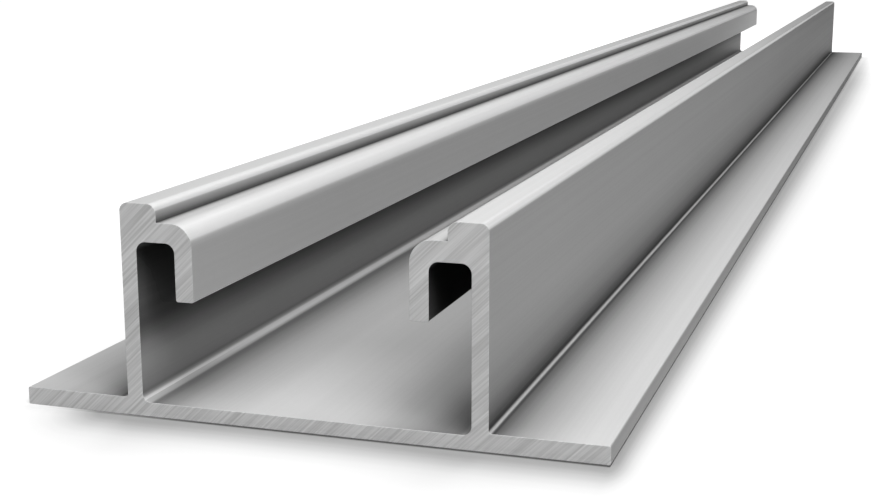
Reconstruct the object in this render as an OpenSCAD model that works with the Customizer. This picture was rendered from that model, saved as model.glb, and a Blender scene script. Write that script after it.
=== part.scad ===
// Solar mounting rail: one aluminium extrusion with a hooked clamp channel on a flat base.
// The cross-section is drawn in X and Z, the same at every cut, and runs along Y.
// Origin: centre of the underside. Millimetres.

/* [Rail] */
// Length between the two saw cuts
rail_length = 640; // [100:1:6000]
// Height from the underside to the top of the ribs
rail_height = 28.5; // [26:0.1:60]
// Width across both flanges
base_width = 80; // [72:0.5:160]

/* [Base plate] */
// Thickness of the flanges, outside the webs
flange_thickness = 2.4; // [1.6:0.1:4]
// Thickness of the channel floor, between the webs
floor_thickness = 1.9; // [1.2:0.1:4]
// Rounding of the flanges' long edges
flange_edge_radius = 0.25; // [0.1:0.05:0.7]

/* [Webs] */
// Width across the outer faces of the two webs
web_span = 49.6; // [46:0.2:64]
// Thickness of each web
web_thickness = 2.2; // [1.6:0.1:3.2]
// Fillet between a web and the channel floor
inner_foot_radius = 1.15; // [0.2:0.05:2]
// Fillet between a web and its flange
outer_foot_radius = 0.4; // [0.2:0.05:2]

/* [Hooks] */
// Width of the slot between a web and its lip
slot_width = 5.45; // [4.5:0.05:8]
// Fillet in the two upper corners of the slot
slot_corner_radius = 1.3; // [0.2:0.1:2]
// Thickness of the bridge over the slot
bridge_thickness = 2.65; // [1.8:0.05:3.6]
// Thickness of the lip
lip_thickness = 2.5; // [1.6:0.1:4]
// Length of the lip, from the shelf down to its lower edge
lip_length = 10.25; // [7:0.05:13]
// Rounding of the lip's two lower edges
lip_edge_radius = 0.3; // [0.1:0.05:0.7]
// Rounding of the shoulder, where the shelf turns down into the lip
shoulder_radius = 3; // [0.5:0.1:4]

/* [Ribs] */
// Width of the raised rib over each web
rib_width = 5.2; // [3:0.05:6.5]
// Height of the rib above the shelf
rib_height = 2.4; // [1.6:0.05:5]
// Rounding of the rib's outer edge
rib_outer_radius = 1.1; // [0.2:0.05:1.4]
// Rounding of the rib's inner edge
rib_inner_radius = 1.3; // [0.2:0.05:1.4]

/* [Hidden] */
$fn = 96;

// Places across the right-hand half of the section, from the middle outwards
web_outer = web_span / 2;
web_inner = web_outer - web_thickness;
lip_back = web_inner - slot_width;
lip_front = lip_back - lip_thickness;
rib_inner = web_outer - rib_width;
flange_end = base_width / 2;

// Levels above the underside
shelf_level = rail_height - rib_height;
slot_top = shelf_level - bridge_thickness;
lip_end = shelf_level - lip_length;

// The shoulder takes up no more than the flat shelf beside the rib
shoulder = min(shoulder_radius, rib_inner - lip_front);

// Inner corners that are filled, each as [x, z], radius and the turn that faces it
FILLETS = [
    [[web_inner, floor_thickness], inner_foot_radius, 90],
    [[web_outer, flange_thickness], outer_foot_radius, 0],
    [[web_inner, slot_top], slot_corner_radius, 180],
    [[lip_back, slot_top], slot_corner_radius, 270],
];

// Outer edges that are rounded off, in the same form
ROUNDINGS = [
    [[flange_end, 0], flange_edge_radius, 90],
    [[flange_end, flange_thickness], flange_edge_radius, 180],
    [[web_outer, rail_height], rib_outer_radius, 180],
    [[rib_inner, rail_height], rib_inner_radius, 270],
    [[lip_front, shelf_level], shoulder, 270],
    [[lip_front, lip_end], lip_edge_radius, 0],
    [[lip_back, lip_end], lip_edge_radius, 90],
];

// Rectangle between two opposite corners
module bar(low, high) {
    translate(low)
        square(high - low);
}

// Area between a right-angled corner at the origin and the arc that rounds it
module corner(radius) {
    difference() {
        square(radius);
        translate([radius, radius])
            circle(radius);
    }
}

// One such area at each corner of a list
module corners(list) {
    for (entry = list)
        translate(entry[0])
            rotate(entry[2])
                corner(entry[1]);
}

// Right-hand flange, web and hooked head, with every corner still sharp
module sharp_side() {
    bar([web_inner, 0], [flange_end, flange_thickness]);
    bar([web_inner, 0], [web_outer, rail_height]);
    bar([lip_front, slot_top], [web_outer, shelf_level]);
    bar([lip_front, lip_end], [lip_back, shelf_level]);
    bar([rib_inner, slot_top], [web_outer, rail_height]);
}

// Right-hand side with its corners filled and its edges rounded
module side() {
    difference() {
        union() {
            sharp_side();
            corners(FILLETS);
        }
        corners(ROUNDINGS);
    }
}

// Whole cross-section: the channel floor joins the side to its mirror image
module section() {
    bar([-web_outer, 0], [web_outer, floor_thickness]);
    side();
    mirror([1, 0])
        side();
}

// The extruded and cut rail, lying on its base plate along Y
module rail() {
    color("silver")
        rotate([90, 0, 0])
            linear_extrude(height = rail_length, center = true)
                section();
}

rail();
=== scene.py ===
"""Solar mounting rail: the extruded section with its saw-cut ends, in a plain pale studio."""
import math
from types import SimpleNamespace

import bpy
from bpy.props import FloatProperty, FloatVectorProperty, IntProperty, PointerProperty
from mathutils import Matrix, Vector


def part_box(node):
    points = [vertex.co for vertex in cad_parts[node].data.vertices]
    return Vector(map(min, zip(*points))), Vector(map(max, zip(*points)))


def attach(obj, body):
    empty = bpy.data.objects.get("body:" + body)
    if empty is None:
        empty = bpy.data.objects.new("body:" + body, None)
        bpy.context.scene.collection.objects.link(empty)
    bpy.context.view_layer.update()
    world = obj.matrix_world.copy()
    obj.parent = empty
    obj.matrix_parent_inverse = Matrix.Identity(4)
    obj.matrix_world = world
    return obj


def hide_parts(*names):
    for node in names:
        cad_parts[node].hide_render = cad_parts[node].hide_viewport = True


bl_info = {
    "name": "Solar Mounting Rail",
    "version": (1, 0, 0),
    "blender": (4, 5, 0),
    "location": "3D View > Sidebar > Solar Rail",
    "description": "Models an extruded aluminium roof rail and sets up its studio",
    "category": "Add Mesh",
}

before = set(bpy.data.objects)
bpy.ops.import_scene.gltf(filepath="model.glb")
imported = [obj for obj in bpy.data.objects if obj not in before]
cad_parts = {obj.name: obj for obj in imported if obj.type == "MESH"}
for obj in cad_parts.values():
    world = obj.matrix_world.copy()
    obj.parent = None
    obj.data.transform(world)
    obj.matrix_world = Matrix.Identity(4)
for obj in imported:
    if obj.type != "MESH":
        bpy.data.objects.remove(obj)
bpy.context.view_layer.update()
LOW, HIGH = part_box("rail")

# Two corners closer than this are the same corner, in metres
NEAR = 1e-6
# A face looks along an axis where its normal reaches this share of it
FACING = 0.99
# Faces that meet at less than this angle are one flat face
FLAT_ANGLE = math.radians(0.1)
# Bevel profile of a true quarter-round
ROUND_PROFILE = 0.5
RIGHT = Vector((1.0, 0.0, 0.0))
UP = Vector((0.0, 0.0, 1.0))


def srgb(code):
    """Turns an sRGB hex colour into the linear values that Blender works in."""
    steps = (int(code[i:i + 2], 16) / 255 for i in (1, 3, 5))
    return tuple(s / 12.92 if s <= 0.04045 else ((s + 0.055) / 1.055) ** 2.4 for s in steps)


def length(name, description, default):
    """A size in metres that the sidebar shows with its unit."""
    return FloatProperty(name=name, description=description, default=default, min=0.0,
                         precision=5, subtype="DISTANCE", unit="LENGTH")


class RailSizes(bpy.types.PropertyGroup):
    """Sizes of the section, as in the CAD model, and of its finished edges."""

    rail_length: length("Length", "Between the two saw cuts", HIGH.y - LOW.y)
    rail_height: length("Height", "From the underside to the top of the ribs", HIGH.z - LOW.z)
    base_width: length("Width", "Across both flanges", HIGH.x - LOW.x)
    flange_thickness: length("Flange", "Thickness of the flanges, outside the webs", 0.0024)
    floor_thickness: length("Floor", "Thickness of the channel floor", 0.0019)
    flange_edge_radius: length("Flange edges", "Rounding of the flanges' long edges", 0.00025)
    web_span: length("Web span", "Across the outer faces of the two webs", 0.0496)
    web_thickness: length("Webs", "Thickness of each web", 0.0022)
    inner_foot_radius: length("Inner foot", "Fillet between web and channel floor", 0.00115)
    outer_foot_radius: length("Outer foot", "Fillet between web and flange", 0.0004)
    slot_width: length("Slot", "Between a web and its lip", 0.00545)
    slot_corner_radius: length("Slot corners", "Fillet in the slot's upper corners", 0.0013)
    bridge_thickness: length("Bridge", "Thickness of the bridge over the slot", 0.00265)
    lip_thickness: length("Lips", "Thickness of each lip", 0.0025)
    lip_length: length("Lip length", "From the shelf down to the lip's end", 0.01025)
    lip_edge_radius: length("Lip edges", "Rounding of the lip's lower edges", 0.0003)
    shoulder_radius: length("Shoulder", "Rounding from the shelf into the lip", 0.003)
    rib_width: length("Rib width", "Width of the raised rib over each web", 0.0052)
    rib_height: length("Rib height", "Height of the rib above the shelf", 0.0024)
    rib_outer_radius: length("Rib outer edge", "Rounding of the rib's outer edge", 0.0011)
    rib_inner_radius: length("Rib inner edge", "Rounding of the rib's inner edge", 0.0013)
    arris: length("Arris", "Width of the dulled edge round each saw cut", 0.00004)
    arc_steps: IntProperty(name="Arc steps", description="Flat steps in each quarter-round",
                           default=12, min=2, max=48)


def section_places(size):
    """Places across the right-hand half of the section, and levels above the underside."""
    web_outer = size.web_span / 2
    web_inner = web_outer - size.web_thickness
    lip_back = web_inner - size.slot_width
    shelf = size.rail_height - size.rib_height
    return SimpleNamespace(
        half=size.base_width / 2, web_outer=web_outer, web_inner=web_inner, lip_back=lip_back,
        lip_front=lip_back - size.lip_thickness, rib_inner=web_outer - size.rib_width,
        shelf=shelf, slot_top=shelf - size.bridge_thickness, lip_end=shelf - size.lip_length)


def choose(piece):
    """Selects one piece alone and makes it active."""
    bpy.ops.object.select_all(action="DESELECT")
    piece.select_set(True)
    bpy.context.view_layer.objects.active = piece


def edit(piece):
    """Opens a piece's mesh for editing, with nothing selected."""
    choose(piece)
    bpy.ops.object.mode_set(mode="EDIT")
    bpy.ops.mesh.select_all(action="DESELECT")


def pick(piece, parts, wanted, mode):
    """Selects the faces or edges of a piece that a test wants, and raises an error if none is there."""
    bpy.ops.mesh.select_mode(type=mode)
    bpy.ops.mesh.select_all(action="DESELECT")
    bpy.ops.object.mode_set(mode="OBJECT")
    found = [part for part in getattr(piece.data, parts) if wanted(part)]
    for part in found:
        part.select = True
    bpy.ops.object.mode_set(mode="EDIT")
    if not found:
        raise RuntimeError(f"{piece.name} has none of the {parts} that this step works on")


def pick_faces(piece, normal, middle):
    """Selects the faces that point along a normal and whose middle passes a test."""
    pick(piece, "polygons",
         lambda face: face.normal.dot(normal) > FACING and middle(face.center), "FACE")


def pick_long_edges(piece, x, z):
    """Selects the edges that run along the rail at a place of the section and its mirror image."""
    def wanted(edge):
        a, b = (piece.data.vertices[i].co for i in edge.vertices)
        return (abs(a.y - b.y) > NEAR
                and all(abs(abs(p.x) - x) < NEAR and abs(p.z - z) < NEAR for p in (a, b)))
    pick(piece, "edges", wanted, "EDGE")


def pull(x=0.0, z=0.0):
    """Extrudes the selected faces across the section."""
    bpy.ops.mesh.extrude_region_move(TRANSFORM_OT_translate={"value": (x, 0.0, z)})


def cut(x):
    """Bisects the whole piece across its width."""
    bpy.ops.mesh.select_all(action="SELECT")
    bpy.ops.mesh.bisect(plane_co=(x, 0.0, 0.0), plane_no=(1.0, 0.0, 0.0))


def add_modifier(piece, kind, **settings):
    """Adds a modifier with its settings and applies it."""
    modifier = piece.modifiers.new(kind.title(), kind)
    for name, value in settings.items():
        setattr(modifier, name, value)
    bpy.ops.object.modifier_apply(modifier=modifier.name)


def model_rail(size):
    """Shapes the right-hand half of the section from a plate, mirrors it and rounds its edges."""
    at = section_places(size)
    shoulder = min(size.shoulder_radius, at.rib_inner - at.lip_front)

    # Channel floor and flange start as one plate from the middle to the flange's edge
    bpy.ops.object.select_all(action="DESELECT")
    bpy.ops.mesh.primitive_cube_add(size=1.0, location=(at.half / 2, 0.0, size.floor_thickness / 2))
    rail = bpy.context.object
    rail.name = "extruded_rail"
    rail.scale = (at.half, size.rail_length - 2 * size.arris, size.floor_thickness)
    bpy.ops.object.transform_apply(location=True, rotation=True, scale=True)
    edit(rail)
    cut(at.web_inner)
    cut(at.web_outer)

    # The flange is thicker than the floor, and the web stands between them
    pick_faces(rail, UP, lambda p: p.x > at.web_inner)
    pull(z=size.flange_thickness - size.floor_thickness)
    pick_faces(rail, UP, lambda p: at.web_inner < p.x < at.web_outer)
    pull(z=at.slot_top - size.flange_thickness)
    pull(z=size.bridge_thickness)

    # The bridge reaches over the slot to the lip, which turns down
    pick_faces(rail, -RIGHT, lambda p: p.z > at.slot_top)
    pull(x=at.rib_inner - at.web_inner)
    pull(x=at.lip_back - at.rib_inner)
    pull(x=-size.lip_thickness)
    pick_faces(rail, -UP, lambda p: at.lip_front < p.x < at.lip_back)
    pull(z=at.lip_end - at.slot_top)

    # The rib stands on the web and the first part of the bridge
    pick_faces(rail, UP, lambda p: p.z > at.slot_top and p.x > at.rib_inner)
    pull(z=size.rib_height)

    # The open middle face goes, and the mirror image closes the section
    pick_faces(rail, -RIGHT, lambda p: p.x < NEAR)
    bpy.ops.mesh.delete(type="FACE")
    bpy.ops.object.mode_set(mode="OBJECT")
    add_modifier(rail, "MIRROR", use_axis=(True, False, False), use_clip=True,
                 merge_threshold=NEAR)
    edit(rail)
    bpy.ops.mesh.select_all(action="SELECT")
    bpy.ops.mesh.dissolve_limited(angle_limit=FLAT_ANGLE)

    # Inner corners are filled and outer edges rounded by the same bevel
    for x, z, radius in (
            (at.web_inner, size.floor_thickness, size.inner_foot_radius),
            (at.web_outer, size.flange_thickness, size.outer_foot_radius),
            (at.web_inner, at.slot_top, size.slot_corner_radius),
            (at.lip_back, at.slot_top, size.slot_corner_radius),
            (at.half, 0.0, size.flange_edge_radius),
            (at.half, size.flange_thickness, size.flange_edge_radius),
            (at.web_outer, size.rail_height, size.rib_outer_radius),
            (at.rib_inner, size.rail_height, size.rib_inner_radius),
            (at.lip_front, at.shelf, shoulder),
            (at.lip_front, at.lip_end, size.lip_edge_radius),
            (at.lip_back, at.lip_end, size.lip_edge_radius)):
        pick_long_edges(rail, x, z)
        bpy.ops.mesh.bevel(offset=radius, offset_type="OFFSET", segments=size.arc_steps,
                           profile=ROUND_PROFILE, affect="EDGES", clamp_overlap=False)

    # The burr of the saw is taken off all round both ends, which brings the rail to its length
    pick(rail, "polygons", lambda face: abs(face.normal.y) > FACING, "FACE")
    bpy.ops.mesh.inset(thickness=size.arris, depth=size.arris)
    bpy.ops.object.mode_set(mode="OBJECT")
    return rail


def add_node(tree, kind, inputs=None, stops=(), **settings):
    """Adds a node with its settings, its set or linked inputs and any ramp stops; gives its output."""
    # A Mix node's inputs go by number: 0 is the factor, 2 and 3 are its numbers, 6 and 7 its colours
    made = tree.nodes.new(kind)
    for name, value in settings.items():
        setattr(made, name, value)
    for key, value in (inputs or {}).items():
        if isinstance(value, bpy.types.NodeSocket):
            tree.links.new(value, made.inputs[key])
        else:
            made.inputs[key].default_value = value
    if stops:
        made.color_ramp.interpolation = "CARDINAL"
        reach = stops[-1][0]
        for place, _ in stops[1:-1]:
            made.color_ramp.elements.new(place / reach)
        for element, (_, level) in zip(made.color_ramp.elements, stops):
            element.color = (level, level, level, 1.0)
    return next((output for output in made.outputs if output.enabled), None)


def new_material(name):
    """An empty material: its node tree, and the coordinates of the object it is on."""
    material = bpy.data.materials.new(name)
    material.use_nodes = True
    tree = material.node_tree
    tree.nodes.clear()
    return material, tree, add_node(tree, "ShaderNodeTexCoord").node.outputs


def streaks(tree, place, size, turn=0.0, detail=2.0):
    """Noise from 0 to 1, drawn out to a real size in metres and turned about the rail's length."""
    drawn = add_node(tree, "ShaderNodeMapping", {
        "Vector": place, "Scale": size, "Rotation": (0.0, turn, 0.0)}, vector_type="TEXTURE")
    return add_node(tree, "ShaderNodeTexNoise", {"Vector": drawn, "Scale": 1.0, "Detail": detail})


def level_at(tree, place, curve, start=0.0):
    """Reads a curve, whose points are a place and a level, at a place in metres from a start."""
    share = add_node(tree, "ShaderNodeMapRange", {
        "Value": place, "From Min": start, "From Max": start + curve[-1][0]})
    # A colour ramp cuts off above 1, so it holds each level as a share of the highest
    highest = max(level for _, level in curve)
    shares = [(point, level / highest) for point, level in curve]
    level = add_node(tree, "ShaderNodeValToRGB", {"Fac": share}, stops=shares)
    return add_node(tree, "ShaderNodeMath", {0: level, 1: highest}, operation="MULTIPLY")


# The metal's colour and gloss carry painted shade, darker in its corners, creases and slots and on
# its walls, and painted light on some rounded edges and low walls. The points of each curve are a
# place in metres, and the share of the colour that the painting leaves there

# Painted shade outside a web, from the crease at its foot; the fillet itself is left unpainted
FOOT_PAINTED_SHADING = ((0.0, 1.0), (0.0002, 1.0), (0.0003, 0.6), (0.0005, 0.17), (0.001, 0.27), (0.002, 0.43),
             (0.004, 0.67), (0.007, 0.84), (0.0125, 1.0))
# The distance from that crease counts for less on the left, so the painted shade reaches further out
# there
LEFT_REACH = 0.74
# Painted shade across the channel floor near the sawn ends, from the left web to the right one, with
# painted light on the left web's foot fillet
FLOOR_PAINTED_SHADING = ((0.0, 1.2), (0.0005, 1.1), (0.0007, 1.05), (0.0009, 1.0), (0.0012, 0.82),
              (0.0015, 0.44), (0.003, 0.57), (0.005, 0.75), (0.007, 0.94), (0.01, 1.05),
              (0.015, 1.06), (0.022, 1.0), (0.029, 0.9), (0.033, 0.73), (0.039, 0.5),
              (0.0436, 0.38), (0.0441, 0.52), (0.0452, 0.6))
# The same further in, where the painting is at full strength
DEEP_FLOOR_PAINTED_SHADING = ((0.0, 1.7), (0.0005, 1.7), (0.0007, 1.6), (0.0009, 1.25), (0.0012, 0.9),
                   (0.0015, 0.46), (0.003, 0.57), (0.006, 0.79), (0.0095, 0.93), (0.014, 0.8),
                   (0.021, 0.67), (0.029, 0.67), (0.035, 0.56), (0.041, 0.55), (0.0436, 0.44),
                   (0.0441, 0.62), (0.0452, 0.7))
# Distances from the ends between which the first changes into the second
DEEPENING = (0.008, 0.040)
# The floor's painted shading goes this share of the way up the fillet at a web's foot
FOOT_SHARE = 0.25
# Up the inside of a web, from the channel floor into the slot: painted light on the fillet, then
# painted shade
SLOT_PAINTED_SHADING = ((0.0, 1.6), (0.0003, 1.65), (0.0005, 1.5), (0.00065, 1.0), (0.00085, 0.6),
             (0.00105, 0.48), (0.00125, 0.38), (0.0016, 0.44), (0.002, 0.48), (0.003, 0.53),
             (0.0045, 0.58), (0.006, 0.56), (0.008, 0.4), (0.01, 0.15), (0.012, 0.06), (0.016, 0.01))
# Painted light added to that in the mouths of the slots, up to the rail's ends
MOUTH_PAINTED_SHADING = ((0.0, 0.0), (0.007, 0.0), (0.0084, 0.009), (0.0097, 0.022), (0.011, 0.036),
              (0.0124, 0.061), (0.0138, 0.083), (0.016, 0.125))
# Share of it that is added, by the height above the channel floor
MOUTH_SHARE = ((0.0, 0.0), (0.009, 0.0), (0.0125, 1.0), (0.0145, 1.4), (0.018, 0.8), (0.0215, 0.2))
# Painted shade on the shelf and up the rib's side, from the crease between them
RIB_PAINTED_SHADING = ((0.0, 0.2), (0.0005, 0.42), (0.001, 0.7), (0.0015, 0.88), (0.0025, 1.0))
# Up the walls that face outwards, from the underside: the flange's side, then the web; painted light on
# the lowest rounding, painted shade above it
WALL_PAINTED_SHADING = ((0.0, 2.0), (0.0001, 1.5), (0.0002, 0.95), (0.0004, 0.76), (0.0006, 0.7), (0.001, 0.68),
             (0.0015, 0.62), (0.002, 0.57), (0.0024, 0.55), (0.0028, 0.64), (0.0124, 0.56),
             (0.0274, 0.47))
# A surface starts to count as such a wall where it faces this far sideways, from 0 for a level face
# to 1 for an upright one: on the webs, and on the flanges
WEB_WALL = 0.8
FLANGE_WALL = 0.3
# Painted highlight on the rounded edges of the hooks and ribs: brightness by how far the surface
# faces sideways
PAINTED_HIGHLIGHT = ((0.0, 1.0), (0.3, 1.03), (0.5, 1.16), (0.7, 1.4), (0.88, 1.7), (0.925, 1.7),
           (0.955, 1.25), (0.975, 1.05), (1.0, 1.0))
# Painted light on the outer walls, by the distance from the near end
WALL_FADE = ((0.0, 1.12), (0.192, 0.92), (0.384, 0.72), (0.52, 0.62), (0.64, 0.57))
# Over this share of the length, from the near end on, the next three change from one value to the
# other: painted brightness of the rib tops, painted brightness of the rest of the hooks, and width of
# the painted shade on the shelf
FADE_SHARE = 0.6
RIB_FADE = (1.04, 0.73)
HOOK_FADE = (0.94, 1.14)
RIB_SPREAD = (0.6, 2.3)
# Faces are told apart by their level with this much to spare, in metres
LEVEL = 0.0001


def channel_painted_shading(tree, x, y, z, across, size):
    """The painted light and shade in the channel: across its floor, up its webs and in its slots."""
    at = section_places(size)
    end = size.rail_length / 2
    from_middle = add_node(tree, "ShaderNodeMath", {0: y}, operation="ABSOLUTE")
    slot = add_node(tree, "ShaderNodeMath", {
        0: level_at(tree, from_middle, MOUTH_PAINTED_SHADING, end - MOUTH_PAINTED_SHADING[-1][0]),
        1: level_at(tree, z, MOUTH_SHARE, size.floor_thickness),
        2: level_at(tree, z, SLOT_PAINTED_SHADING, size.floor_thickness)}, operation="MULTIPLY_ADD")
    behind = add_node(tree, "ShaderNodeMath", {
        0: across, 1: at.lip_back - size.lip_thickness / 2}, operation="GREATER_THAN")
    below = add_node(tree, "ShaderNodeMath", {
        0: z, 1: at.shelf - size.bridge_thickness / 2}, operation="LESS_THAN")
    in_slot = add_node(tree, "ShaderNodeMath", {0: behind, 1: below}, operation="MULTIPLY")
    inside = add_node(tree, "ShaderNodeMix", {0: in_slot, 2: 1.0, 3: slot})

    depth = add_node(tree, "ShaderNodeMapRange", {
        "Value": from_middle, "From Min": end - DEEPENING[0], "From Max": end - DEEPENING[1]},
        interpolation_type="SMOOTHSTEP")
    floor = add_node(tree, "ShaderNodeMix", {
        0: depth, 2: level_at(tree, x, FLOOR_PAINTED_SHADING, -at.web_inner),
        3: level_at(tree, x, DEEP_FLOOR_PAINTED_SHADING, -at.web_inner)})
    on_floor = add_node(tree, "ShaderNodeMath", {
        0: z, 1: size.floor_thickness + FOOT_SHARE * size.inner_foot_radius},
        operation="LESS_THAN")
    return add_node(tree, "ShaderNodeMix", {0: on_floor, 2: inside, 3: floor})


def foot_painted_shading(tree, x, section, size):
    """The painted shade outside a web, which fades from the web's foot across the flange."""
    web_outer = section_places(size).web_outer
    away = add_node(tree, "ShaderNodeVectorMath", {
        0: section, 1: (web_outer, 0.0, size.flange_thickness)}, operation="DISTANCE")
    reach = add_node(tree, "ShaderNodeMapRange", {
        "Value": x, "From Min": -web_outer, "From Max": web_outer, "To Min": LEFT_REACH})
    away = add_node(tree, "ShaderNodeMath", {0: away, 1: reach}, operation="MULTIPLY")
    return level_at(tree, away, FOOT_PAINTED_SHADING)


def rib_painted_shading(tree, z, section, along, size):
    """The painted shade at the foot of each rib, which spreads over the shelf further along the rail.
    """
    at = section_places(size)
    away = add_node(tree, "ShaderNodeVectorMath", {
        0: section, 1: (at.rib_inner, 0.0, at.shelf)}, operation="DISTANCE")
    on_shelf = add_node(tree, "ShaderNodeMath", {0: z, 1: at.shelf + LEVEL}, operation="LESS_THAN")
    spread = add_node(tree, "ShaderNodeMapRange", {
        **along, "To Min": RIB_SPREAD[0], "To Max": RIB_SPREAD[1]})
    spread = add_node(tree, "ShaderNodeMix", {0: on_shelf, 2: 1.0, 3: spread})
    away = add_node(tree, "ShaderNodeMath", {0: away, 1: spread}, operation="DIVIDE")
    return level_at(tree, away, RIB_PAINTED_SHADING)


def painted_shading(tree, place, size):
    """How bright the painted light and shade leave the extruded metal; 1 is unpainted."""
    at = section_places(size)
    end = size.rail_length / 2
    x, y, z = add_node(tree, "ShaderNodeSeparateXYZ", {0: place["Object"]}).node.outputs
    across = add_node(tree, "ShaderNodeMath", {0: x}, operation="ABSOLUTE")
    section = add_node(tree, "ShaderNodeCombineXYZ", {"X": across, "Z": z})
    along = {"Value": y, "From Min": -end, "From Max": (2 * FADE_SHARE - 1) * end}
    outside = add_node(tree, "ShaderNodeMath", {
        0: across, 1: at.web_outer - size.web_thickness / 2}, operation="GREATER_THAN")
    tone = add_node(tree, "ShaderNodeMix", {
        0: outside, 2: channel_painted_shading(tree, x, y, z, across, size),
        3: foot_painted_shading(tree, x, section, size)})

    # Walls that face outwards get painted shade, and rounded edges above the lips' ends a painted
    # highlight
    turn_x, _, _ = add_node(tree, "ShaderNodeSeparateXYZ", {0: place["Normal"]}).node.outputs
    side = add_node(tree, "ShaderNodeMath", {0: x}, operation="SIGN")
    outward = add_node(tree, "ShaderNodeMath", {0: turn_x, 1: side}, operation="MULTIPLY")
    on_flange = add_node(tree, "ShaderNodeMath", {0: z, 1: size.flange_thickness},
                         operation="LESS_THAN")
    wall_from = add_node(tree, "ShaderNodeMix", {0: on_flange, 2: WEB_WALL, 3: FLANGE_WALL})
    outward = add_node(tree, "ShaderNodeMapRange", {"Value": outward, "From Min": wall_from})
    wall = add_node(tree, "ShaderNodeMix", {0: outward, 2: 1.0, 3: level_at(tree, z, WALL_PAINTED_SHADING)})
    upper = add_node(tree, "ShaderNodeMath", {0: z, 1: at.lip_end - LEVEL},
                     operation="GREATER_THAN")
    turn_x = add_node(tree, "ShaderNodeMath", {0: turn_x}, operation="ABSOLUTE")
    painted_highlight = add_node(tree, "ShaderNodeMix", {0: upper, 2: 1.0, 3: level_at(tree, turn_x, PAINTED_HIGHLIGHT)})

    # Along the rail the painted light fades on the outer walls and the rib tops, and grows on the rest
    # of the hooks
    rib_top = add_node(tree, "ShaderNodeMath", {0: z, 1: size.rail_height - LEVEL},
                       operation="GREATER_THAN")
    gain = add_node(tree, "ShaderNodeMapRange", {
        **along, "To Min": HOOK_FADE[0], "To Max": HOOK_FADE[1]})
    fade = add_node(tree, "ShaderNodeMix", {0: upper, 2: 1.0, 3: gain})
    rib_fade = add_node(tree, "ShaderNodeMapRange", {
        **along, "To Min": RIB_FADE[0], "To Max": RIB_FADE[1]})
    fade = add_node(tree, "ShaderNodeMix", {0: rib_top, 2: fade, 3: rib_fade})
    fade = add_node(tree, "ShaderNodeMix", {
        0: outward, 2: fade, 3: level_at(tree, y, WALL_FADE, -end)})
    for share in (rib_painted_shading(tree, z, section, along, size), wall, painted_highlight, fade):
        tone = add_node(tree, "ShaderNodeMath", {0: tone, 1: share}, operation="MULTIPLY")
    return tone


# Painted light up the sawn ends, from the underside: brightest near the floor
SAWN_PAINTED_SHADING = ((0.0, 1.45), (0.0002, 1.36), (0.0005, 1.17), (0.001, 1.13), (0.002, 1.08), (0.005, 1.01),
             (0.01, 0.95), (0.016, 0.94), (0.022, 0.99), (0.0285, 0.97))
# It sets in between these places across the rail, so the left flange keeps its plain tone
SAWN_FROM = (-0.034, -0.022)


def sawn_painted_shading(tree, place):
    """Painted light on the sawn ends by their height, except on the left flange."""
    x, _, z = add_node(tree, "ShaderNodeSeparateXYZ", {0: place["Object"]}).node.outputs
    share = add_node(tree, "ShaderNodeMapRange", {
        "Value": x, "From Min": SAWN_FROM[0], "From Max": SAWN_FROM[1]})
    return add_node(tree, "ShaderNodeMix", {0: share, 2: 1.0, 3: level_at(tree, z, SAWN_PAINTED_SHADING)})


# Share of metal in the shading. Bare aluminium starts from 1, but the rough oxide skin of this rail
# scatters soft light much as a matt surface does, and this share matches it
METALLIC = 0.2
# The summed noise of the marks keeps between these two levels
NOISE_RANGE = (0.3, 0.7)
# Bright marks are glossier than dull ones: their roughness lies this far below and above the middle
GLOSS_CHANGE = 0.04
# Depth of the marks in metres, and how strongly each finish shows it
MARK_DEPTH = 0.00001
MILL_RELIEF = 0.15
SAW_RELIEF = 0.1

# Marks of the mill finish: size in metres across, along and up the rail, and weight in the sum. Real
# die lines are a few hundredths of a millimetre wide. That is too fine to show, so the finest ones
# are drawn a quarter of a millimetre wide
MILL_MARKS = (
    # Fine die lines
    ({"size": (0.00025, 0.5, 0.00025)}, 0.3),
    # Broader die lines
    ({"size": (0.0012, 0.9, 0.0012)}, 0.3),
    # Dull specks
    ({"size": (0.0004, 0.0012, 0.0004)}, 0.15),
    # Clouding
    ({"size": (0.02, 0.08, 0.02)}, 0.25),
)
# Saw scratches rise to the right across the near end, at this angle
SAW_ANGLE = math.radians(-44)
# Marks of the saw, in the same form. Real scratches are about a tenth of a millimetre apart, and are
# drawn at twice that to show
SAW_MARKS = (
    # Scratches of the teeth
    ({"size": (0.012, 1.0, 0.00022), "turn": SAW_ANGLE, "detail": 1.0}, 0.7),
    # Broader bands
    ({"size": (0.03, 1.0, 0.0008), "turn": SAW_ANGLE, "detail": 1.0}, 0.3),
)


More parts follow.
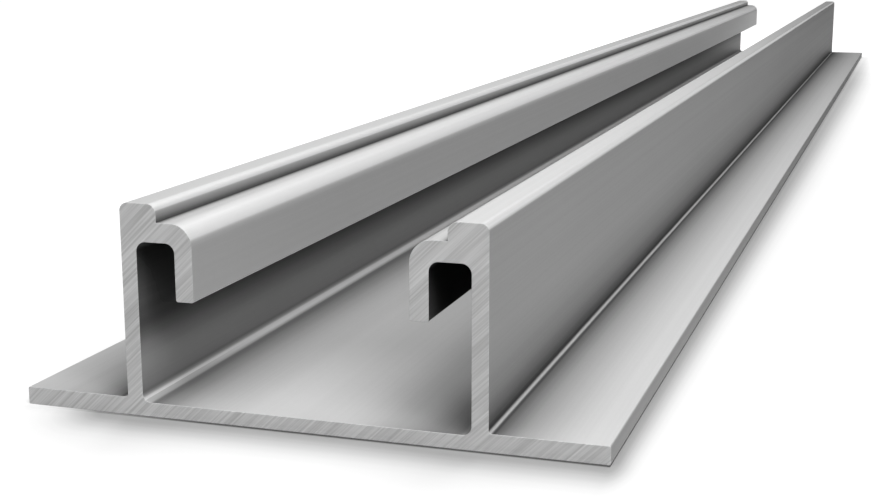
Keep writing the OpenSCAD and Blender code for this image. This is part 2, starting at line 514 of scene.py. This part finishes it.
def metal(name, light, dark, roughness, patterns, relief, painted_light_at):
    """Bare aluminium whose colour, gloss and relief vary with its tool marks, and whose colour and
    gloss carry painted light and shade.
    """
    material, tree, place = new_material(name)
    marks = [(streaks(tree, place["Object"], **pattern), weight) for pattern, weight in patterns]
    shade = 0.0
    for pattern, weight in marks:
        shade = add_node(tree, "ShaderNodeMath", {0: pattern, 1: weight, 2: shade},
                         operation="MULTIPLY_ADD")
    spread = {"Value": shade, "From Min": NOISE_RANGE[0], "From Max": NOISE_RANGE[1]}
    tint = add_node(tree, "ShaderNodeMix", {
        0: add_node(tree, "ShaderNodeMapRange", spread), 6: (*dark, 1.0), 7: (*light, 1.0)},
        data_type="RGBA")
    # The painted light and shade scale the colour and the gloss alike
    painted_light = painted_light_at(tree, place)
    tint = add_node(tree, "ShaderNodeMix", {0: 1.0, 6: tint, 7: painted_light}, data_type="RGBA",
                    blend_type="MULTIPLY")
    gloss = add_node(tree, "ShaderNodeMapRange", {
        **spread, "To Min": roughness + GLOSS_CHANGE, "To Max": roughness - GLOSS_CHANGE})
    # The finest marks stand in relief
    bump = add_node(tree, "ShaderNodeBump", {
        "Height": marks[0][0], "Strength": relief, "Distance": MARK_DEPTH})
    surface = add_node(tree, "ShaderNodeBsdfPrincipled", {
        "Base Color": tint, "Metallic": METALLIC, "Roughness": gloss, "Specular Tint": painted_light,
        "Normal": bump})
    add_node(tree, "ShaderNodeOutputMaterial", {"Surface": surface})
    return material


def mill_finish(finish, size):
    """Extruded aluminium as it leaves the die."""
    # The die drags fine straight lines along the bar, so it shows a satin grey with faint streaks
    # Its colour and gloss also carry the painted light and shade of the rail's corners, walls and edges
    return metal("mill_finish_extruded_aluminium", finish.mill_light, finish.mill_dark,
                 finish.mill_roughness, MILL_MARKS, MILL_RELIEF,
                 lambda tree, place: painted_shading(tree, place, size))


def saw_cut(finish):
    """Sawn aluminium, as on the two ends."""
    # The blade leaves fresh metal with fine parallel scratches, paler and more matt than the skin
    return metal("saw_cut_aluminium", finish.saw_light, finish.saw_dark, finish.saw_roughness,
                 SAW_MARKS, SAW_RELIEF, sawn_painted_shading)


def colour(name, description, code):
    """A colour that the sidebar shows as a swatch."""
    return FloatVectorProperty(name=name, description=description, subtype="COLOR", size=3,
                               default=srgb(code), min=0.0, max=1.0)


class RailFinish(bpy.types.PropertyGroup):
    """Colours and gloss of the two finishes."""

    mill_light: colour("Mill light", "Polished die lines", "#C9C9C9")
    mill_dark: colour("Mill dark", "Dull die lines", "#C1C1C1")
    mill_roughness: FloatProperty(name="Mill roughness", description="Roughness between the die lines",
                                  default=0.5, min=0.0, max=1.0, subtype="FACTOR")
    saw_light: colour("Saw light", "Bright saw scratches", "#D8D8D8")
    saw_dark: colour("Saw dark", "Dull saw scratches", "#B8B8B8")
    saw_roughness: FloatProperty(name="Saw roughness", description="Roughness of the sawn ends",
                                 default=0.55, min=0.0, max=1.0, subtype="FACTOR")


# Arcs whose flat steps meet at less than this angle are shaded round
SMOOTH_ANGLE = math.radians(30)
# Large faces take all of the shading normal, so that flat ones stay flat beside an arc
FACE_WEIGHT = 100
# The arris round a saw cut is turned halfway from it, and is sawn metal too
SAWN_FACING = 0.5


def smooth(rail):
    """Shades the arcs round and keeps the flat faces flat."""
    choose(rail)
    bpy.ops.object.shade_smooth_by_angle(angle=SMOOTH_ANGLE)
    add_modifier(rail, "WEIGHTED_NORMAL", keep_sharp=True, weight=FACE_WEIGHT)


def give_finishes(rail, finish, size):
    """Gives the rail its mill finish, and the two sawn ends theirs."""
    rail.data.materials.append(mill_finish(finish, size))
    rail.data.materials.append(saw_cut(finish))
    edit(rail)
    pick(rail, "polygons", lambda face: abs(face.normal.y) > SAWN_FACING, "FACE")
    rail.active_material_index = len(rail.data.materials) - 1
    bpy.ops.object.material_slot_assign()
    bpy.ops.object.mode_set(mode="OBJECT")


class RAIL_OT_extrusion(bpy.types.Operator):
    """Models the extruded rail, cuts its ends and gives it its finishes"""

    bl_idname = "solar_rail.extrusion"
    bl_label = "Extruded Rail"

    def execute(self, context):
        size = context.scene.rail_sizes
        rail = model_rail(size)
        give_finishes(rail, context.scene.rail_finish, size)
        smooth(rail)
        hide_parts("rail")
        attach(rail, "root")
        return {"FINISHED"}


# Glow of the floor by the distance from the rail's shadow in metres, close to it and further out. The
# two are added, and a sum of 1 is white; the glow falling off towards the rail paints its soft shadow
NEAR_GLOW = ((0.0, 0.0), (0.002, 0.0), (0.003, 0.06), (0.004, 0.13), (0.006, 0.28), (0.008, 0.41),
             (0.01, 0.49), (0.016, 0.58))
FAR_GLOW = ((0.0, 0.0), (0.1, 0.25), (0.3, 0.42))
# Glow added along the rail, by the distance from a place that is this share of its length from the
# near end: the lamps light its far part less, and at its far end the painted shadow runs out
GLOW_FROM = 1 / 3
END_GLOW = ((0.0, 0.0), (0.207, 0.087), (0.277, 0.117), (0.307, 0.18), (0.337, 0.26), (0.367, 0.38),
            (0.387, 0.46), (0.407, 0.55), (0.427, 0.6))
# Share of its colour that the floor keeps in the painted contact shadow along the foot of the near
# end, by the distance from it in metres
CONTACT = ((0.0, 0.4), (0.00012, 0.3), (0.00025, 0.16), (0.0004, 0.3), (0.0006, 0.66), (0.0008, 0.95),
           (0.001, 1.0))
# Beside the rail that line is narrower by this factor
CONTACT_SIDE = 5.0
# To the left it fades between these places across the rail
CONTACT_FADE = (-0.012, -0.040)
# The painted shadow on the right widens by these factors, from the near end to the place after them
SIDE_SHADOW = (0.36, 1.1)
SIDE_SHADOW_END = 0.1
# On the left it starts under the rail, this far from the middle
LEFT_SHADOW = 0.027
# Width of the floor in metres
FLOOR_WIDTH = 12.0


def outline_distance(tree, beside, before):
    """Distance from an outline to a place that lies so far beside it and so far before it."""
    away = add_node(tree, "ShaderNodeCombineXYZ", {0: beside, 1: before})
    away = add_node(tree, "ShaderNodeVectorMath", {0: away, 1: (0.0, 0.0, 0.0)}, operation="MAXIMUM")
    return add_node(tree, "ShaderNodeVectorMath", {0: away}, operation="LENGTH")


def pale_floor(size, own_colour):
    """Matt pale studio floor: white to the camera and in the metal, but for the rail's soft shadow,
    cast partly by the lamps and partly painted by its glow.
    """
    material, tree, place = new_material("matt_pale_studio_floor")
    rays = add_node(tree, "ShaderNodeLightPath").node.outputs
    seen = rays["Is Camera Ray"]
    for ray in ("Is Glossy Ray", "Is Transmission Ray"):
        seen = add_node(tree, "ShaderNodeMath", {0: seen, 1: rays[ray]}, operation="MAXIMUM")

    # How far a place lies beside the shadow and before the rail's ends
    end = size.rail_length / 2
    x, y, _ = add_node(tree, "ShaderNodeSeparateXYZ", {0: place["Object"]}).node.outputs
    width = add_node(tree, "ShaderNodeMapRange", {
        "Value": y, "From Min": -end, "From Max": SIDE_SHADOW_END,
        "To Min": SIDE_SHADOW[0], "To Max": SIDE_SHADOW[1]})
    right = add_node(tree, "ShaderNodeMath", {0: x, 1: size.base_width / 2}, operation="SUBTRACT")
    right = add_node(tree, "ShaderNodeMath", {0: right, 1: width}, operation="DIVIDE")
    left = add_node(tree, "ShaderNodeMath", {0: -LEFT_SHADOW, 1: x}, operation="SUBTRACT")
    beside = add_node(tree, "ShaderNodeMath", {0: left, 1: right}, operation="MAXIMUM")
    before = add_node(tree, "ShaderNodeMath", {0: y}, operation="ABSOLUTE")
    before = add_node(tree, "ShaderNodeMath", {0: before, 1: end}, operation="SUBTRACT")

    # The glow runs out towards the rail, which paints its soft shadow
    away = outline_distance(tree, beside, before)
    glow = add_node(tree, "ShaderNodeMath", {
        0: level_at(tree, away, NEAR_GLOW), 1: level_at(tree, away, FAR_GLOW)}, operation="ADD")
    far = level_at(tree, y, END_GLOW, (2 * GLOW_FROM - 1) * end)
    glow = add_node(tree, "ShaderNodeMath", {0: glow, 1: far}, operation="ADD", use_clamp=True)
    glow = add_node(tree, "ShaderNodeMath", {0: seen, 1: glow}, operation="MULTIPLY")
    glow = add_node(tree, "ShaderNodeEmission", {"Strength": glow})

    # A painted contact shadow darkens the floor's colour in a thin line where the rail stands on it
    close = add_node(tree, "ShaderNodeMath", {0: right, 1: CONTACT_SIDE}, operation="MULTIPLY")
    close = outline_distance(tree, close, before)
    open_left = add_node(tree, "ShaderNodeMapRange", {
        "Value": x, "From Min": CONTACT_FADE[0], "From Max": CONTACT_FADE[1],
        "To Min": min(level for _, level in CONTACT)})
    dark = add_node(tree, "ShaderNodeMath", {0: level_at(tree, close, CONTACT), 1: open_left},
                    operation="MAXIMUM")
    tint = add_node(tree, "ShaderNodeMix", {0: 1.0, 6: (*own_colour, 1.0), 7: dark}, data_type="RGBA",
                    blend_type="MULTIPLY")
    matt = add_node(tree, "ShaderNodeBsdfDiffuse", {"Color": tint})
    floor = add_node(tree, "ShaderNodeAddShader", {0: matt, 1: glow})
    add_node(tree, "ShaderNodeOutputMaterial", {"Surface": floor})
    return material


class StudioSettings(bpy.types.PropertyGroup):
    """Camera, lamps and floor of the studio."""

    lens: FloatProperty(name="Lens", description="Focal length of the camera", default=59.795,
                        min=10.0, subtype="DISTANCE_CAMERA", unit="CAMERA")
    lamp_power: FloatProperty(name="Lamp power", description="Share of the lamps' full power",
                              default=1.0, min=0.0, soft_max=2.0, subtype="FACTOR")
    lamp_size: length("Lamp size", "Width of each soft box", 0.45)
    lamp_distance: length("Lamp distance", "From each soft box to the rail", 0.8)
    floor_colour: colour("Floor", "Colour of the floor in the light of the lamps", "#A8A8A8")


# Name, azimuth and elevation in degrees, and power in watts
LAMPS = (
    ("back_soft_box", 0, 50, 2.8),
    ("front_right_soft_box", 135, 50, 5.65),
    ("front_left_soft_box", 225, 60, 2.0),
    ("low_back_left_soft_box", 342, 16, 0.4),
)
LAMP_TARGET = Vector((0.0, -0.28, 0.0))
# The camera stands before the near end, on its right: its place in metres, and how far it is turned
# left of the rail, tipped down and rolled, in degrees
CAMERA_PLACE = (0.07306, -0.48591, 0.06180)
CAMERA_TURNS = (17.888, 11.990, -0.104)
# Nearest distance in metres that the camera shows
CAMERA_NEAR = 0.01
BLACK = (0.0, 0.0, 0.0, 1.0)


def soft_lamp(context, name, azimuth, elevation, power):
    """A square soft box aimed at the rail's near end; azimuth 0 is behind it, 90 is on its right."""
    studio = context.scene.rail_studio
    lamp = bpy.data.lights.new(name, "AREA")
    lamp.shape = "SQUARE"
    lamp.size = studio.lamp_size
    lamp.energy = power
    item = bpy.data.objects.new(name, lamp)
    context.collection.objects.link(item)
    turn, rise = math.radians(azimuth), math.radians(elevation)
    away = Vector((math.sin(turn) * math.cos(rise), math.cos(turn) * math.cos(rise), math.sin(rise)))
    item.location = LAMP_TARGET + studio.lamp_distance * away
    item.rotation_euler = away.to_track_quat("Z", "Y").to_euler()
    item.visible_camera = False


def aim_camera(context, lens):
    """Adds the camera and makes it the scene's own."""
    camera = bpy.data.objects.new("camera", bpy.data.cameras.new("camera"))
    context.collection.objects.link(camera)
    camera.data.lens = lens
    camera.data.clip_start = CAMERA_NEAR
    yaw, pitch, roll = (math.radians(turn) for turn in CAMERA_TURNS)
    camera.location = CAMERA_PLACE
    look = Matrix.Rotation(yaw, 4, "Z") @ Matrix.Rotation(math.pi / 2 - pitch, 4, "X")
    camera.rotation_euler = (look @ Matrix.Rotation(roll, 4, "Z")).to_euler()
    context.scene.camera = camera


class RAIL_OT_stage(bpy.types.Operator):
    """Sets up the floor, the soft lamps and the camera"""

    bl_idname = "solar_rail.stage"
    bl_label = "Studio"

    def execute(self, context):
        scene = context.scene
        studio = scene.rail_studio
        aim_camera(context, studio.lens)
        bpy.ops.object.select_all(action="DESELECT")
        bpy.ops.mesh.primitive_plane_add(size=FLOOR_WIDTH)
        floor = context.object
        floor.name = "floor"
        floor.data.materials.append(pale_floor(scene.rail_sizes, studio.floor_colour))
        for name, azimuth, elevation, power in LAMPS:
            soft_lamp(context, name, azimuth, elevation, studio.lamp_power * power)
        world = bpy.data.worlds.new("studio")
        scene.world = world
        world.use_nodes = True
        world.node_tree.nodes["Background"].inputs["Color"].default_value = BLACK
        scene.view_settings.view_transform = "Standard"
        return {"FINISHED"}


class RAIL_PT_panel(bpy.types.Panel):
    """Sidebar panel with the rail's sizes, finishes and steps"""

    bl_label = "Solar Rail"
    bl_space_type = "VIEW_3D"
    bl_region_type = "UI"
    bl_category = "Solar Rail"

    def draw(self, context):
        scene = context.scene
        for step, groups in (("solar_rail.extrusion", (scene.rail_sizes, scene.rail_finish)),
                             ("solar_rail.stage", (scene.rail_studio,))):
            box = self.layout.box()
            for settings in groups:
                for name in settings.__annotations__:
                    box.prop(settings, name)
            box.operator(step)


CLASSES = (RailSizes, RailFinish, StudioSettings, RAIL_OT_extrusion, RAIL_OT_stage, RAIL_PT_panel)


def register():
    """Registers the classes and hangs the settings on the scene."""
    for cls in CLASSES:
        bpy.utils.register_class(cls)
    bpy.types.Scene.rail_sizes = PointerProperty(type=RailSizes)
    bpy.types.Scene.rail_finish = PointerProperty(type=RailFinish)
    bpy.types.Scene.rail_studio = PointerProperty(type=StudioSettings)


def unregister():
    """Takes the settings and the classes away again."""
    del bpy.types.Scene.rail_studio
    del bpy.types.Scene.rail_finish
    del bpy.types.Scene.rail_sizes
    for cls in reversed(CLASSES):
        bpy.utils.unregister_class(cls)


def main():
    register()
    bpy.ops.solar_rail.extrusion()
    bpy.ops.solar_rail.stage()


if __name__ == "__main__":
    main()
